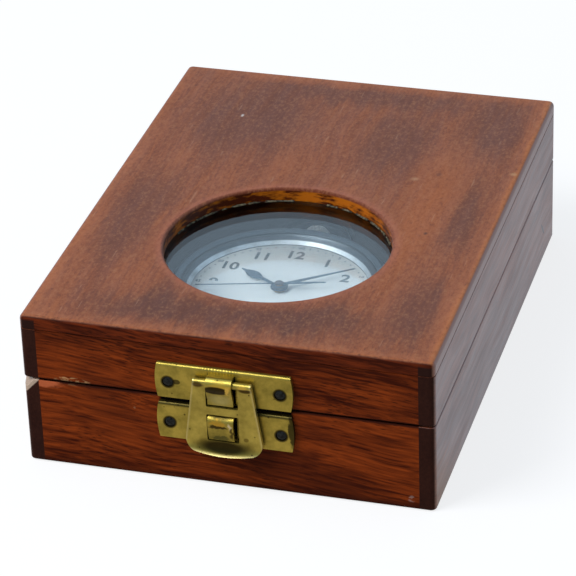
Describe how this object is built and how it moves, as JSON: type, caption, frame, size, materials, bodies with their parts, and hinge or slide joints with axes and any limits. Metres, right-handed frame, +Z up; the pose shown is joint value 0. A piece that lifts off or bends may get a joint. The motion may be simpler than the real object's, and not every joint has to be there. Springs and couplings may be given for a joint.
{
  "type": "deck watch box",
  "caption": "Small mahogany case for a deck watch: a hinged lid with a round window, a sprung brass hasp, and an open-face watch lying in a turned bed.",
  "frame": {"origin": "middle of the base's underside", "axes": "+Y from the latch to the hinges, +Z up out of the dial, +X to the right seen from the latch"},
  "size_m": [0.09, 0.1281, 0.036],
  "materials": {
    "mahogany": "worn shellac over red-brown mahogany, darker on the ends",
    "inner_mahogany": "plain varnished mahogany",
    "window_glass": "clear flat glass",
    "latch_brass": "dulled, slightly tarnished brass sheet",
    "hinge_brass": "dulled brass",
    "iron_nails": "blackened iron",
    "nickel_case": "polished nickel",
    "crystal": "clear domed glass",
    "silvered_dial": "matt silvered dial with slate-grey printing",
    "gilt_movement": "gilt brass",
    "blued_steel": "blued steel",
    "bright_steel": "ground steel"
  },
  "bodies": {
    "base": {"base_front_board": "mahogany", "base_back_board": "mahogany", "base_left_board": "mahogany", "base_right_board": "mahogany", "bottom_board": "inner_mahogany", "watch_bed": "inner_mahogany", "hinge_base_leaves": "hinge_brass", "hinge_pins": "hinge_brass", "hinge_base_nails": "iron_nails", "latch_lower_plate": "latch_brass", "latch_base_nails": "iron_nails", "case_middle": "nickel_case", "case_back": "nickel_case", "case_bezel": "nickel_case", "watch_crystal": "crystal", "dial": "silvered_dial", "dial_ring": "nickel_case", "movement": "gilt_movement"},
    "lid": {"lid_top_board": "mahogany", "lid_front_board": "mahogany", "lid_back_board": "mahogany", "lid_left_board": "mahogany", "lid_right_board": "mahogany", "window_glass": "window_glass", "glass_frame": "inner_mahogany", "hinge_lid_leaves": "hinge_brass", "hinge_lid_nails": "iron_nails", "latch_upper_plate": "latch_brass", "latch_lid_nails": "iron_nails"},
    "hasp": {"latch_hasp": "latch_brass"},
    "minute_hand": {"minute_hand": "blued_steel", "cannon_pinion": "gilt_movement"},
    "hour_hand": {"hour_hand": "blued_steel", "hour_pipe": "gilt_movement"},
    "seconds_hand": {"seconds_hand": "blued_steel", "seconds_arbor": "bright_steel"},
    "stem": {"winding_stem": "bright_steel"},
    "crown": {"crown": "nickel_case"},
    "bow": {"bow": "nickel_case"}
  },
  "joints": [
    {"name": "lid_hinge", "type": "hinge", "parent": "base", "child": "lid", "pos_m": [0, 0.06225, 0.0207], "axis": [-1, 0, 0], "range_deg": [0, 180]},
    {"name": "hasp_pivot", "type": "hinge", "parent": "lid", "child": "hasp", "pos_m": [0, -0.0628, 0.0264], "axis": [-1, 0, 0], "range_deg": [0, 150]},
    {"name": "minute_hand_turn", "type": "hinge", "parent": "base", "child": "minute_hand", "pos_m": [0, -0.0191, 0.0242], "axis": [0, 0, -1], "continuous": true},
    {"name": "hour_hand_turn", "type": "hinge", "parent": "base", "child": "hour_hand", "pos_m": [0, -0.0191, 0.0242], "axis": [0, 0, -1], "continuous": true},
    {"name": "seconds_hand_turn", "type": "hinge", "parent": "base", "child": "seconds_hand", "pos_m": [0, -0.0191, 0.0242], "axis": [0, 0, -1], "continuous": true},
    {"name": "stem_pull", "type": "slide", "parent": "base", "child": "stem", "axis": [0, 1, 0], "range_m": [0, 0.0009]},
    {"name": "crown_turn", "type": "hinge", "parent": "stem", "child": "crown", "pos_m": [0, 0.0089, 0.0186], "axis": [0, 1, 0], "continuous": true},
    {"name": "bow_swing", "type": "hinge", "parent": "base", "child": "bow", "pos_m": [0, 0.0075, 0.0186], "axis": [1, 0, 0], "range_deg": [0, 45]}
  ],
  "couplings": [
    {"joint": "hour_hand_turn", "follows": "minute_hand_turn", "ratio": 0.083333}
  ]
}
